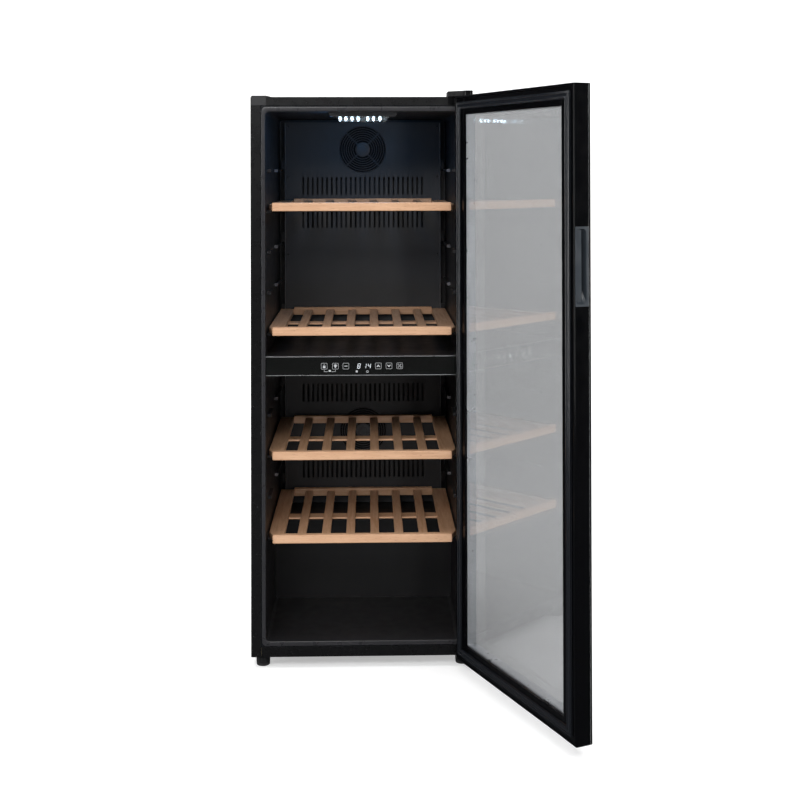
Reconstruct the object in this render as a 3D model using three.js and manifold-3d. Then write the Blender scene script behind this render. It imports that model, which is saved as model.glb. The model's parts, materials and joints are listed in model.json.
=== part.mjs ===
// Free-standing two-zone wine cooler: a glass door hinged on the right, four pull-out beech shelves, a control
// panel between the zones, a fan and evaporator behind each rear air duct, a compressor at the bottom rear.
//
// Millimetres, +Z up, +Y towards the back, +X to the right when facing the door.
// The origin is the centre of the front-left foot's sole. The door stands open, as it is stored.
import * as THREE from "three";
import { mergeVertices } from "three/addons/utils/BufferGeometryUtils.js";
import Module from "manifold-3d";

const wasm = await Module();
wasm.setup();

// ---------------------------------------------------------------- driving dimensions
const GAP = 0.3; // clearance left between pieces that touch
const SHEET = 1; // sheet steel of the outer case

const CABINET = { width: 550, depth: 575, height: 1382 };
const FOOT = { radius: 17, height: 28, inset: 27.5, fromFront: 30, edgeRound: 4 };
const FRONT_RAIL = 25; // width of the case's folded front edge at the sides and the bottom
const TOP_RAIL = 21; // height of the case's folded front edge at the top

// The liner is the inner box; low and high are the faces that the bottles see.
const LINER = {
  left: 36, right: 514, floor: 38, ceiling: 1346, back: 540,
  wall: 2, cornerRadius: 11, rimSide: 9, rimBottom: 11, rimTop: 12,
};
const STEP = { front: 330, top: 248, wall: 32 }; // the hump over the compressor space

const DIVIDER = { bottom: 692, top: 740, front: 9.8 };
const FASCIA = { front: 5.5, thickness: 4, drop: 0.5, edge: 2 };
const CONTROL_POCKET = { left: 160, right: 392, bottom: 699, top: 733, depth: 16 };
const BOARD = 1.6; // thickness of a circuit board

const DUCT = { left: 52, right: 498, front: 506, wall: 2.5 };
const DUCT_SLOT = { width: 5.5, height: 51, pitch: 13.6, count: 26 };
const UPPER_DUCT = {
  bottom: 743, top: 1338, slotRows: [1035.5, 1130], fanHeight: 1260, evaporatorBottom: 900,
};
const LOWER_DUCT = {
  bottom: 251, top: 689, slotRows: [322, 539], fanHeight: 455, evaporatorBottom: 550,
};
const GRILLE = { firstRing: 23.5, slot: 3.6, pitch: 6.45, rings: 7, spoke: 5 };
const FAN = {
  frame: 138, hole: 63, front: 510, depth: 25, hub: 22, strut: 8, strutThickness: 3,
  blades: 7, bladeTip: 60, bladeWidth: 22, bladeThickness: 2, bladeTilt: 58,
};
const EVAPORATOR = {
  left: 110, right: 440, front: 512, back: 536, height: 120, spine: 4, fins: 20, finWidth: 3,
};

// The lamp hangs below the ceiling: a shallow housing, and a lens cup whose width shrinks downwards.
const LAMP = {
  left: 190, right: 366, front: 35, back: 80, drop: 11, taper: 6, border: 4,
  lensDrop: 24, lensTop: 135, lensBottom: 115, lensWall: 4, lensFloor: 2, boardGap: 3,
};

// Ledges moulded into the liner's side walls carry the shelves; each list counts down from the top one.
const LEDGE = {
  out: 9, height: 8, pitch: 103.1, upperTop: 1203.3, upperCount: 5, lowerTop: 585.8, lowerCount: 4,
};
const LEDGE_RUNS = [[70, 150], [320, 500]];

const SHELF = {
  left: 40, back: 500, plankWidth: 39, plankThickness: 14,
  stripLeft: 52, stripRight: 498, stripFront: 12, stripBack: 30, stripHeight: 21, stripDrop: 1.5,
  cornerCut: 35, slatWidth: 22, slatPitch: 61, slats: 6, slatThickness: 9,
  midRailFront: 231, midRailBack: 272, midRailThickness: 6, rearRail: 18,
};
const SHELF_LEDGES = { top: 1100.2, second: 790.9, third: 482.7, bottom: 276.5 };

// The machine compartment at the bottom rear.
const BACK_RIBS = { centres: [150, 275, 400], foot: 40, crest: 28, proud: 1.5, bottom: 300, top: 1300 };
const REAR_COVER = { top: 238, slots: 16, slotPitch: 24, slotWidth: 8, rows: [60, 130], rowHeight: 50 };
const INLET = {
  x: 430, z: 35, width: 48, height: 30, depth: 22, proud: 1,
  socketWidth: 30, socketHeight: 20, socketDepth: 16, socketRadius: 4,
};
const COMPRESSOR = {
  x: 160, y: 470, radius: 70, bottom: 8, shoulder: 110, top: 150, baseWidth: 190, baseDepth: 110,
};
const DRIP_TRAY = { width: 160, depth: 120, bottom: 154, top: 174, wall: 2 };
const CONDENSER = { left: 290, right: 500, y: 440, bottom: 110, pitch: 24, runs: 4, tube: 4 };
const POWER_UNIT = { left: 320, right: 400, front: 480, back: 560, top: 80 };

const DOOR = {
  left: 1, right: 549, innerFace: -7, outerFace: -46.3, height: 1382,
  glass: 4, paneMargin: 38, spacer: 9, stile: 51, rail: 46.5, recess: 6.5, chamfer: 4, openAngle: 113.28,
};
const HINGE = { x: 530.7, y: -28.2, pinRadius: 3, pinReach: 16, plate: 3, bushWall: 1.9 };
const GASKET = { outer: 16, inner: 33, face: -1.2 };
const GRIP = {
  bottom: 914, top: 1081.5, depth: 24, wall: 2.2, inner: -8, outer: -41.5,
  wellInner: -15.2, wellEnd: 6, wellRadius: 8,
};

// The hinge cover reaches forward over the door in a rounded nose.
const COVER = {
  left: 489, back: 64, noseX: 537.3, noseY: -31, noseRadius: 11.3, top: 1395.5, wall: 1.2,
  flangeRight: 504, tie: 6, bracketLeft: 506, bracketFront: -12,
};
const CAP = { left: 2, flat: 38.6, right: 51, back: 45, height: 3.5 };
const FLANGE = { front: -1, back: -0.3, bottom: 1361 }; // hangs from each cover over the case's front

// ---------------------------------------------------------------- materials
function finish(color, roughness, metalness, opacity = 1) {
  return new THREE.MeshStandardMaterial({
    color, roughness, metalness, opacity, transparent: opacity < 1,
  });
}

const finishes = {
  caseSteel: () => finish(0x0c0c0e, 0.35, 0.3),
  linerPlastic: () => finish(0x1a1a1c, 0.5, 0),
  blackPlastic: () => finish(0x121214, 0.45, 0),
  glossBlack: () => finish(0x050506, 0.12, 0),
  gripPlastic: () => finish(0x4a525a, 0.45, 0),
  rubber: () => finish(0x1b1b1e, 0.7, 0),
  beech: () => finish(0xd8a677, 0.55, 0),
  glass: () => finish(0x8f9496, 0.05, 0, 0.35),
  foam: () => finish(0xd9cfa6, 0.95, 0),
  aluminium: () => finish(0xb4b7ba, 0.35, 0.9),
  zincSteel: () => finish(0x8f9296, 0.4, 0.9),
  darkSteel: () => finish(0x2a2c2f, 0.45, 0.7),
  copper: () => finish(0xa8643c, 0.35, 0.9),
  board: () => finish(0x1d4a2c, 0.6, 0),
  lens: () => finish(0xe6f0ff, 0.2, 0, 0.6),
};

// ---------------------------------------------------------------- solid helpers
function solidOf(geometry) {
  const bare = geometry.index ? geometry.toNonIndexed() : geometry.clone();
  bare.deleteAttribute("normal");
  bare.deleteAttribute("uv");
  const merged = mergeVertices(bare, 1e-3);
  return new wasm.Manifold(new wasm.Mesh({
    numProp: 3,
    vertProperties: merged.attributes.position.array,
    triVerts: new Uint32Array(merged.index.array),
  }));
}

function geometryOf(solid) {
  const mesh = solid.getMesh();
  const geometry = new THREE.BufferGeometry();
  geometry.setAttribute("position", new THREE.BufferAttribute(new Float32Array(mesh.vertProperties), 3));
  geometry.setIndex(new THREE.BufferAttribute(new Uint32Array(mesh.triVerts), 1));
  return geometry;
}

function cut(geometry, ...tools) {
  return geometryOf(tools.reduce((rest, tool) => rest.subtract(solidOf(tool)), solidOf(geometry)));
}

function join(geometry, ...others) {
  return geometryOf(others.reduce((sum, other) => sum.add(solidOf(other)), solidOf(geometry)));
}

// Holes of the given [x, z] outlines right through a wall that lies between y0 and y1.
function punched(geometry, outlines, y0, y1) {
  return cut(geometry, ...outlines.map((points) => prismY(points, y0 - 1, y1 + 1)));
}

// A box between two corners, each [x, y, z].
function block([x0, y0, z0], [x1, y1, z1]) {
  return new THREE.BoxGeometry(x1 - x0, y1 - y0, z1 - z0)
    .translate((x0 + x1) / 2, (y0 + y1) / 2, (z0 + z1) / 2);
}

function outline(points) {
  return new THREE.Shape(points.map(([a, b]) => new THREE.Vector2(a, b)));
}

function rectangle(x0, y0, x1, y1) {
  return [[x0, y0], [x1, y0], [x1, y1], [x0, y1]];
}

function roundedRectangle(x0, y0, x1, y1, radius, steps = 4) {
  const corners = [[x1 - radius, y1 - radius, 0], [x0 + radius, y1 - radius, 1],
    [x0 + radius, y0 + radius, 2], [x1 - radius, y0 + radius, 3]];
  return corners.flatMap(([cx, cy, quarter]) => arc(cx, cy, radius, quarter * 90, quarter * 90 + 90, steps));
}

// Points on an arc, angles in degrees.
function arc(cx, cy, radius, from, to, steps) {
  return Array.from({ length: steps + 1 }, (_, i) => {
    const angle = THREE.MathUtils.degToRad(from + ((to - from) * i) / steps);
    return [cx + radius * Math.cos(angle), cy + radius * Math.sin(angle)];
  });
}

function extruded(shape, depth) {
  return new THREE.ExtrudeGeometry(shape, { depth, bevelEnabled: false, curveSegments: 8 });
}

// An outline of [x, y] points, from z0 up to z1.
function prismZ(points, z0, z1) {
  return extruded(outline(points), z1 - z0).translate(0, 0, z0);
}

// An outline of [x, z] points, from y0 back to y1.
function prismY(points, y0, y1) {
  return extruded(outline(points), y1 - y0).rotateX(Math.PI / 2).translate(0, y1, 0);
}

// An outline of [y, z] points, from x0 across to x1.
function prismX(points, x0, x1) {
  const axes = new THREE.Matrix4().makeBasis(
    new THREE.Vector3(0, 1, 0), new THREE.Vector3(0, 0, 1), new THREE.Vector3(1, 0, 0));
  return extruded(outline(points), x1 - x0).applyMatrix4(axes).translate(x0, 0, 0);
}

function rodZ(x, y, z0, z1, radius, sides = 16) {
  return new THREE.CylinderGeometry(radius, radius, z1 - z0, sides)
    .rotateX(Math.PI / 2).translate(x, y, (z0 + z1) / 2);
}

function rodY(x, z, y0, y1, radius, sides = 24) {
  return new THREE.CylinderGeometry(radius, radius, y1 - y0, sides).translate(x, (y0 + y1) / 2, z);
}

// A profile of [radius, z] points turned about the vertical axis.
function turned(profile, sides) {
  const points = profile.map(([radius, z]) => new THREE.Vector2(radius, z));
  return new THREE.LatheGeometry(points, sides).rotateX(Math.PI / 2);
}

// ---------------------------------------------------------------- assembly
const cooler = new THREE.Group();
const cabinet = new THREE.Group();
cabinet.position.set(-FOOT.inset, -FOOT.fromFront, FOOT.height);
cooler.add(cabinet);

const door = new THREE.Group();
door.position.set(HINGE.x, HINGE.y, 0);
door.rotation.z = THREE.MathUtils.degToRad(DOOR.openAngle);
cabinet.add(door);

function add(group, name, geometry, material) {
  const mesh = new THREE.Mesh(geometry, material());
  mesh.name = name;
  group.add(mesh);
}

function addToCabinet(name, geometry, material) {
  add(cabinet, name, geometry, material);
}

// Door pieces are drawn where they are when the door is shut.
function addToDoor(name, geometry, material) {
  add(door, name, geometry.translate(-HINGE.x, -HINGE.y, 0), material);
}

// The same piece on the cabinet's other side; each triangle is turned round so that it still faces outwards.
function mirrored(geometry) {
  const flipped = geometry.clone().scale(-1, 1, 1).translate(CABINET.width, 0, 0);
  const indexed = flipped.index ? flipped : mergeVertices(flipped, 1e-3);
  const corners = indexed.index.array;
  for (let i = 0; i < corners.length; i += 3) {
    [corners[i + 1], corners[i + 2]] = [corners[i + 2], corners[i + 1]];
  }
  return indexed;
}

// ---------------------------------------------------------------- outer case
// Cuts the folded front edge back at both ends, where the side panels have theirs.
function clearOfSides(geometry, z0, z1) {
  const width = FRONT_RAIL + GAP;
  const end = (x) => block([x, -1, z0], [x + width, SHEET + GAP, z1]);
  return cut(geometry, end(0), end(CABINET.width - width));
}

function sidePanel() {
  const folded = [[0, 0], [FRONT_RAIL, 0], [FRONT_RAIL, SHEET], [SHEET, SHEET], [SHEET, CABINET.depth],
    [0, CABINET.depth]];
  return prismZ(folded, 0, CABINET.height);
}

function topPanel() {
  const top = CABINET.height;
  const folded = [[CABINET.depth, top], [CABINET.depth, top - SHEET], [SHEET, top - SHEET],
    [SHEET, top - TOP_RAIL], [0, top - TOP_RAIL], [0, top]];
  return clearOfSides(prismX(folded, SHEET + GAP, CABINET.width - SHEET - GAP), top - TOP_RAIL - 1, top + 1);
}

function bottomPlate() {
  const folded = [[0, 0], [CABINET.depth, 0], [CABINET.depth, SHEET], [SHEET, SHEET],
    [SHEET, FRONT_RAIL], [0, FRONT_RAIL]];
  return clearOfSides(prismX(folded, SHEET + GAP, CABINET.width - SHEET - GAP), -1, FRONT_RAIL + 1);
}

// A flat sheet with three pressed ribs.
function backPanel() {
  const left = SHEET + GAP;
  const right = CABINET.width - SHEET - GAP;
  const sheet = block([left, CABINET.depth - SHEET, REAR_COVER.top + GAP],
    [right, CABINET.depth, CABINET.height - SHEET - GAP]);
  const { centres, foot: footWidth, crest, proud, bottom, top } = BACK_RIBS;
  const inside = CABINET.depth - SHEET;
  const outside = CABINET.depth + proud;
  const ribs = centres.map((x) => prismZ([[x + footWidth / 2, inside], [x + crest / 2, outside],
    [x - crest / 2, outside], [x - footWidth / 2, inside]], bottom, top));
  return join(sheet, ...ribs);
}

function rearCover() {
  const slotLeft = (CABINET.width - (REAR_COVER.slots - 1) * REAR_COVER.slotPitch) / 2;
  const slots = REAR_COVER.rows.flatMap((z) => Array.from({ length: REAR_COVER.slots }, (_, i) => {
    const x = slotLeft + i * REAR_COVER.slotPitch;
    return rectangle(x - REAR_COVER.slotWidth / 2, z, x + REAR_COVER.slotWidth / 2, z + REAR_COVER.rowHeight);
  }));
  const inletHole = rectangle(
    INLET.x - INLET.width / 2 - GAP, INLET.z - INLET.height / 2 - GAP,
    INLET.x + INLET.width / 2 + GAP, INLET.z + INLET.height / 2 + GAP);
  const plate = rectangle(SHEET + GAP, SHEET + GAP, CABINET.width - SHEET - GAP, REAR_COVER.top);
  return punched(prismY(plate, CABINET.depth - SHEET, CABINET.depth), [...slots, inletHole],
    CABINET.depth - SHEET, CABINET.depth);
}

addToCabinet("side_panel_left", sidePanel(), finishes.caseSteel);
addToCabinet("side_panel_right", mirrored(sidePanel()), finishes.caseSteel);
addToCabinet("top_panel", topPanel(), finishes.caseSteel);
addToCabinet("bottom_plate", bottomPlate(), finishes.caseSteel);
addToCabinet("back_panel", backPanel(), finishes.darkSteel);
addToCabinet("rear_cover", rearCover(), finishes.darkSteel);

// ---------------------------------------------------------------- liner and insulation
const LINER_OUTER = {
  left: LINER.left - LINER.wall, right: LINER.right + LINER.wall,
  floor: LINER.floor - LINER.wall, ceiling: LINER.ceiling + LINER.wall, back: LINER.back + LINER.wall,
};

function ledgeTops() {
  const run = (top, count) => Array.from({ length: count }, (_, i) => top - i * LEDGE.pitch);
  return [...run(LEDGE.upperTop, LEDGE.upperCount), ...run(LEDGE.lowerTop, LEDGE.lowerCount)];
}

function ledge(top, [front, back], wallX, inward) {
  const tip = wallX + inward * LEDGE.out;
  const root = wallX - inward * LINER.wall / 2;
  return block([Math.min(root, tip), front, top - LEDGE.height], [Math.max(root, tip), back, top]);
}

function liner() {
  const { left, right, floor, ceiling, back, wall, cornerRadius, rimSide, rimBottom, rimTop } = LINER;
  const shell = prismY(roundedRectangle(left - wall, floor - wall, right + wall, ceiling + wall,
    cornerRadius + wall), 0, back + wall);
  const rimPlate = prismY(roundedRectangle(left - rimSide, floor - rimBottom, right + rimSide,
    ceiling + rimTop, cornerRadius), 0, wall);
  const space = prismY(roundedRectangle(left, floor, right, ceiling, cornerRadius), -1, back);
  const stepOutside = block([0, STEP.front + wall, 0], [CABINET.width, CABINET.depth, STEP.top - wall]);
  const stepInside = block([left, STEP.front, floor - wall], [right, back, STEP.top]);
  const hollow = cut(join(shell, rimPlate), cut(space, stepInside));
  const ledges = ledgeTops().flatMap((top) => LEDGE_RUNS.flatMap((run) => [
    ledge(top, run, left, 1), ledge(top, run, right, -1)]));
  return join(cut(hollow, stepOutside), ...ledges);
}

addToCabinet("liner", liner(), finishes.linerPlastic);

// Foam fills the space between the liner and the case.
const FOAM = {
  front: LINER.wall + GAP, back: CABINET.depth - SHEET - GAP,
  left: SHEET + GAP, bottom: SHEET + GAP, top: CABINET.height - SHEET - GAP,
};
const STEP_FOAM = { front: STEP.front + LINER.wall + GAP, top: STEP.top - LINER.wall - GAP };

function foamSide() {
  return block([FOAM.left, FOAM.front, FOAM.bottom], [LINER_OUTER.left - GAP, FOAM.back, FOAM.top]);
}

function foamBetween([y0, z0], [y1, z1]) {
  return block([LINER_OUTER.left, y0, z0], [LINER_OUTER.right, y1, z1]);
}

function foamStep() {
  const { front, top } = STEP_FOAM;
  const innerFront = front + STEP.wall;
  const innerTop = top - STEP.wall;
  const angle = [[front, FOAM.bottom], [innerFront, FOAM.bottom], [innerFront, innerTop],
    [FOAM.back, innerTop], [FOAM.back, top], [front, top]];
  return prismX(angle, LINER_OUTER.left, LINER_OUTER.right);
}

addToCabinet("insulation_left", foamSide(), finishes.foam);
addToCabinet("insulation_right", mirrored(foamSide()), finishes.foam);
addToCabinet("insulation_top",
  foamBetween([FOAM.front, LINER_OUTER.ceiling + GAP], [FOAM.back, FOAM.top]), finishes.foam);
addToCabinet("insulation_floor",
  foamBetween([FOAM.front, FOAM.bottom], [STEP_FOAM.front - GAP, LINER_OUTER.floor - GAP]), finishes.foam);
addToCabinet("insulation_back",
  foamBetween([LINER_OUTER.back + GAP, STEP_FOAM.top + GAP], [FOAM.back, LINER_OUTER.ceiling]), finishes.foam);
addToCabinet("insulation_step", foamStep(), finishes.foam);

// ---------------------------------------------------------------- divider and controls
function divider() {
  const pocket = CONTROL_POCKET;
  const body = block([LINER.left + GAP, DIVIDER.front, DIVIDER.bottom],
    [LINER.right - GAP, LINER.back - GAP, DIVIDER.top]);
  return cut(body, block([pocket.left, DIVIDER.front - 1, pocket.bottom],
    [pocket.right, DIVIDER.front + pocket.depth, pocket.top]));
}

// A flat touch panel across the divider's front, with chamfered long edges.
function fascia() {
  const { front, thickness, drop, edge } = FASCIA;
  const back = front + thickness;
  const low = DIVIDER.bottom - drop;
  const high = DIVIDER.top - drop;
  const profile = [[front + edge, low], [back, low], [back, high], [front + edge, high],
    [front, high - edge], [front, low + edge]];
  return prismX(profile, LINER.left + GAP, LINER.right - GAP);
}

function controlBoard() {
  const { left, right, bottom, top } = CONTROL_POCKET;
  const margin = 2;
  const front = DIVIDER.front + margin;
  return block([left + margin, front, bottom + margin], [right - margin, front + BOARD, top - margin]);
}

addToCabinet("divider", divider(), finishes.glossBlack);
addToCabinet("control_fascia", fascia(), finishes.glossBlack);
addToCabinet("control_board", controlBoard(), finishes.board);

// ---------------------------------------------------------------- lamp
const lampTop = LINER.ceiling - GAP;
const lampShelf = LINER.ceiling - LAMP.drop;
const lampMiddle = (LAMP.left + LAMP.right) / 2;

function lampHousing() {
  const { left, right, front, back, taper, border, lensTop, lensFloor } = LAMP;
  const body = prismY([[left + taper, lampShelf], [right - taper, lampShelf], [right, lampTop],
    [left, lampTop]], front, back);
  const opening = lensTop / 2 + GAP;
  return cut(body, block([lampMiddle - opening, front + border, lampShelf - 1],
    [lampMiddle + opening, back - border, lampTop - lensFloor]));
}

function lampLens() {
  const { front, back, border, lensTop, lensBottom, lensDrop, lensWall, lensFloor } = LAMP;
  const bottom = LINER.ceiling - lensDrop;
  const cup = prismY([[lampMiddle - lensBottom / 2, bottom], [lampMiddle + lensBottom / 2, bottom],
    [lampMiddle + lensTop / 2, lampShelf], [lampMiddle - lensTop / 2, lampShelf]],
  front + border + GAP, back - border - GAP);
  const hollow = lensBottom / 2 - lensWall;
  return cut(cup, block([lampMiddle - hollow, front + border + lensWall, bottom + lensFloor],
    [lampMiddle + hollow, back - border - lensWall, lampShelf + 1]));
}

function ledBoard() {
  const { front, back, lensTop, boardGap } = LAMP;
  const half = lensTop / 2 - 2;
  const bottom = lampShelf + boardGap;
  return block([lampMiddle - half, front + 6, bottom], [lampMiddle + half, back - 6, bottom + BOARD]);
}

addToCabinet("lamp_housing", lampHousing(), finishes.blackPlastic);
addToCabinet("lamp_lens", lampLens(), finishes.lens);
addToCabinet("led_board", ledBoard(), finishes.board);

// ---------------------------------------------------------------- air ducts, fans and evaporators
const CENTRE = CABINET.width / 2;

// Curved slots in concentric rings, broken by four diagonal spokes.
function grilleSlots(fanHeight) {
  return Array.from({ length: GRILLE.rings }, (_, ring) => {
    const inner = GRILLE.firstRing + ring * GRILLE.pitch;
    const outer = inner + GRILLE.slot;
    const trim = THREE.MathUtils.radToDeg(GRILLE.spoke / 2 / inner);
    return [45, 135, 225, 315].map((spoke) => [
      ...arc(CENTRE, fanHeight, outer, spoke + trim, spoke + 90 - trim, 3),
      ...arc(CENTRE, fanHeight, inner, spoke + 90 - trim, spoke + trim, 3),
    ]);
  }).flat();
}

function ductPanel({ bottom, top, slotRows, fanHeight }) {
  const { left, right, front, wall } = DUCT;
  const firstSlot = CENTRE - ((DUCT_SLOT.count - 1) * DUCT_SLOT.pitch) / 2;
  const slots = slotRows.flatMap((z) => Array.from({ length: DUCT_SLOT.count }, (_, i) => {
    const x = firstSlot + i * DUCT_SLOT.pitch;
    return rectangle(x - DUCT_SLOT.width / 2, z, x + DUCT_SLOT.width / 2, z + DUCT_SLOT.height);
  }));
  const box = block([left, front, bottom], [right, LINER.back - GAP, top]);
  const inside = block([left + wall, front + wall, bottom + wall], [right - wall, LINER.back, top - wall]);
  return punched(cut(box, inside), [...slots, ...grilleSlots(fanHeight)], front, front + wall);
}

// A square frame with a round hole; two crossed struts at the back carry the motor.
function fanFrame(fanHeight) {
  const { frame, front, depth, hole, hub, strut, strutThickness } = FAN;
  const back = front + depth;
  const strutFront = back - strutThickness;
  const square = block([CENTRE - frame / 2, front, fanHeight - frame / 2],
    [CENTRE + frame / 2, back, fanHeight + frame / 2]);
  const shell = cut(square, rodY(CENTRE, fanHeight, front - 1, back + 1, hole, 32));
  const reach = hole + 2;
  const crossing = (turn) => block([-reach, strutFront, -strut / 2], [reach, back, strut / 2])
    .rotateY(turn).translate(CENTRE, 0, fanHeight);
  const motor = rodY(CENTRE, fanHeight, strutFront, back, hub, 20);
  return join(shell, motor, crossing(Math.PI / 4), crossing(-Math.PI / 4));
}

function fanRotor(fanHeight) {
  const { front, depth, hub, blades, bladeTip, bladeWidth, bladeThickness, bladeTilt } = FAN;
  const boss = rodY(0, 0, front + 2, front + depth - 4, hub - 1, 20);
  const blade = (i) => block([hub - 4, -bladeThickness / 2, -bladeWidth / 2],
    [bladeTip, bladeThickness / 2, bladeWidth / 2])
    .rotateX(THREE.MathUtils.degToRad(bladeTilt))
    .translate(0, front + bladeWidth / 2, 0)
    .rotateY((i * 2 * Math.PI) / blades);
  const ring = Array.from({ length: blades }, (_, i) => blade(i));
  return join(boss, ...ring).translate(CENTRE, 0, fanHeight);
}

// A finned aluminium block: upright fins that stand forward from a flat spine.
function evaporator(bottom) {
  const { left, right, front, back, spine, fins, finWidth, height } = EVAPORATOR;
  const pitch = (right - left - finWidth) / (fins - 1);
  const teeth = Array.from({ length: fins }, (_, i) => {
    const x = left + i * pitch;
    return [[x, back - spine], [x, front], [x + finWidth, front], [x + finWidth, back - spine]];
  }).flat();
  return prismZ([...teeth.slice(1, -1), [right, back], [left, back]], bottom, bottom + height);
}

for (const [zone, duct] of [["upper", UPPER_DUCT], ["lower", LOWER_DUCT]]) {
  addToCabinet(`duct_panel_${zone}`, ductPanel(duct), finishes.blackPlastic);
  addToCabinet(`fan_frame_${zone}`, fanFrame(duct.fanHeight), finishes.blackPlastic);
  addToCabinet(`fan_rotor_${zone}`, fanRotor(duct.fanHeight), finishes.blackPlastic);
  addToCabinet(`evaporator_${zone}`, evaporator(duct.evaporatorBottom), finishes.aluminium);
}

// ---------------------------------------------------------------- shelves
// The rack is glued up from two side planks, six slats, a middle rail and a rear rail.
function shelfRack(ledgeTop) {
  const s = SHELF;
  const bottom = ledgeTop + GAP;
  const front = s.stripBack + GAP;
  const plank = prismZ([[s.stripLeft, front], [s.left + s.plankWidth, front],
    [s.left + s.plankWidth, s.back], [s.left, s.back], [s.left, s.stripBack + s.cornerCut]],
  bottom, bottom + s.plankThickness);
  const slatTop = bottom + s.plankThickness;
  const slats = Array.from({ length: s.slats }, (_, i) => {
    const x = CENTRE + (i - (s.slats - 1) / 2) * s.slatPitch;
    return block([x - s.slatWidth / 2, front, slatTop - s.slatThickness],
      [x + s.slatWidth / 2, s.back, slatTop]);
  });
  const inner = s.left + s.plankWidth - 1;
  const midRail = block([inner, s.midRailFront, bottom], [CABINET.width - inner, s.midRailBack,
    bottom + s.midRailThickness]);
  const rearRail = block([inner, s.back - s.rearRail, bottom - s.stripDrop], [CABINET.width - inner, s.back,
    bottom - s.stripDrop + s.stripHeight]);
  return join(plank, mirrored(plank), ...slats, midRail, rearRail);
}

function shelfStrip(ledgeTop) {
  const s = SHELF;
  const bottom = ledgeTop + GAP - s.stripDrop;
  return block([s.stripLeft, s.stripFront, bottom], [s.stripRight, s.stripBack, bottom + s.stripHeight]);
}

for (const [place, ledgeTop] of Object.entries(SHELF_LEDGES)) {
  addToCabinet(`shelf_rack_${place}`, shelfRack(ledgeTop), finishes.beech);
  addToCabinet(`shelf_front_${place}`, shelfStrip(ledgeTop), finishes.beech);
}

// ---------------------------------------------------------------- machine compartment
// A round steel can with a domed top, on a base plate.
function compressor() {
  const { x, y, radius, bottom, shoulder, top, baseWidth, baseDepth } = COMPRESSOR;
  const dome = arc(0, 0, 1, 0, 90, 4).map(
    ([across, up]) => [radius * across, shoulder + (top - shoulder) * up]);
  const profile = [[0, bottom], [radius - 8, bottom], [radius, bottom + 10], ...dome];
  const can = turned(profile, 28).translate(x, y, 0);
  const base = block([x - baseWidth / 2, y - baseDepth / 2, SHEET + GAP],
    [x + baseWidth / 2, y + baseDepth / 2, bottom + 2]);
  return join(can, base);
}

// One tube bent to and fro, each run above the last.
function condenser() {
  const { left, right, y, bottom, pitch, runs, tube } = CONDENSER;
  const path = new THREE.CurvePath();
  for (let i = 0; i < runs; i += 1) {
    const z = bottom + i * pitch;
    const [from, to] = i % 2 ? [right, left] : [left, right];
    path.add(new THREE.LineCurve3(new THREE.Vector3(from, y, z), new THREE.Vector3(to, y, z)));
    if (i < runs - 1) {
      const bulge = to + Math.sign(to - from) * pitch * 0.66;
      path.add(new THREE.CubicBezierCurve3(
        new THREE.Vector3(to, y, z), new THREE.Vector3(bulge, y, z),
        new THREE.Vector3(bulge, y, z + pitch), new THREE.Vector3(to, y, z + pitch)));
    }
  }
  const section = outline(arc(0, 0, tube, 0, 300, 5));
  return new THREE.ExtrudeGeometry(section, { extrudePath: path, steps: 42, bevelEnabled: false });
}

// An open tray above the compressor, where the condensed water dries off.
function dripTray() {
  const { width, depth, bottom, top, wall } = DRIP_TRAY;
  const { x, y } = COMPRESSOR;
  const tray = block([x - width / 2, y - depth / 2, bottom], [x + width / 2, y + depth / 2, top]);
  const hollow = block([x - width / 2 + wall, y - depth / 2 + wall, bottom + wall],
    [x + width / 2 - wall, y + depth / 2 - wall, top + 1]);
  return cut(tray, hollow);
}

function powerUnit() {
  const { left, right, front, back, top } = POWER_UNIT;
  return block([left, front, SHEET + GAP], [right, back, top]);
}

// A socket for a mains lead, set into the rear cover and facing backwards.
function mainsInlet() {
  const { x, z, width, height, depth, proud, socketWidth, socketHeight, socketDepth, socketRadius } = INLET;
  const back = CABINET.depth + proud;
  const body = block([x - width / 2, back - depth, z - height / 2], [x + width / 2, back, z + height / 2]);
  const mouth = roundedRectangle(x - socketWidth / 2, z - socketHeight / 2,
    x + socketWidth / 2, z + socketHeight / 2, socketRadius, 2);
  return cut(body, prismY(mouth, back - socketDepth, back + 1));
}

addToCabinet("compressor", compressor(), finishes.darkSteel);
addToCabinet("condenser_coil", condenser(), finishes.copper);
addToCabinet("drip_tray", dripTray(), finishes.blackPlastic);
addToCabinet("power_unit", powerUnit(), finishes.blackPlastic);
addToCabinet("mains_inlet", mainsInlet(), finishes.blackPlastic);

// ---------------------------------------------------------------- feet
const HINGE_PLATE_BOTTOM = -GAP - HINGE.plate;

function foot(x, y, top) {
  const { radius, height, edgeRound } = FOOT;
  const low = -height;
  const rounded = arc(radius - edgeRound, low + edgeRound, edgeRound, -90, 0, 3);
  return turned([[0, low], ...rounded, [radius, top], [0, top]], 20).translate(x, y, 0);
}

const feet = {
  front_left: [FOOT.inset, FOOT.fromFront, -GAP],
  front_right: [CABINET.width - FOOT.inset, FOOT.fromFront, HINGE_PLATE_BOTTOM - GAP],
  rear_left: [FOOT.inset, CABINET.depth - FOOT.fromFront, -GAP],
  rear_right: [CABINET.width - FOOT.inset, CABINET.depth - FOOT.fromFront, -GAP],
};
for (const [place, [x, y, top]] of Object.entries(feet)) {
  addToCabinet(`foot_${place}`, foot(x, y, top), finishes.rubber);
}

// ---------------------------------------------------------------- hinges and their covers
const TOP_PLATE_BOTTOM = CABINET.height + GAP;

// Seen from above: straight sides that end at the front in a half-round nose.
function noseOutline(left, front, inset) {
  const radius = COVER.noseRadius - inset;
  const back = COVER.back - inset;
  return [[left, back], [left, front], ...arc(COVER.noseX, COVER.noseY, radius, 180, 360, 8),
    [COVER.noseX + radius, back]];
}

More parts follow.
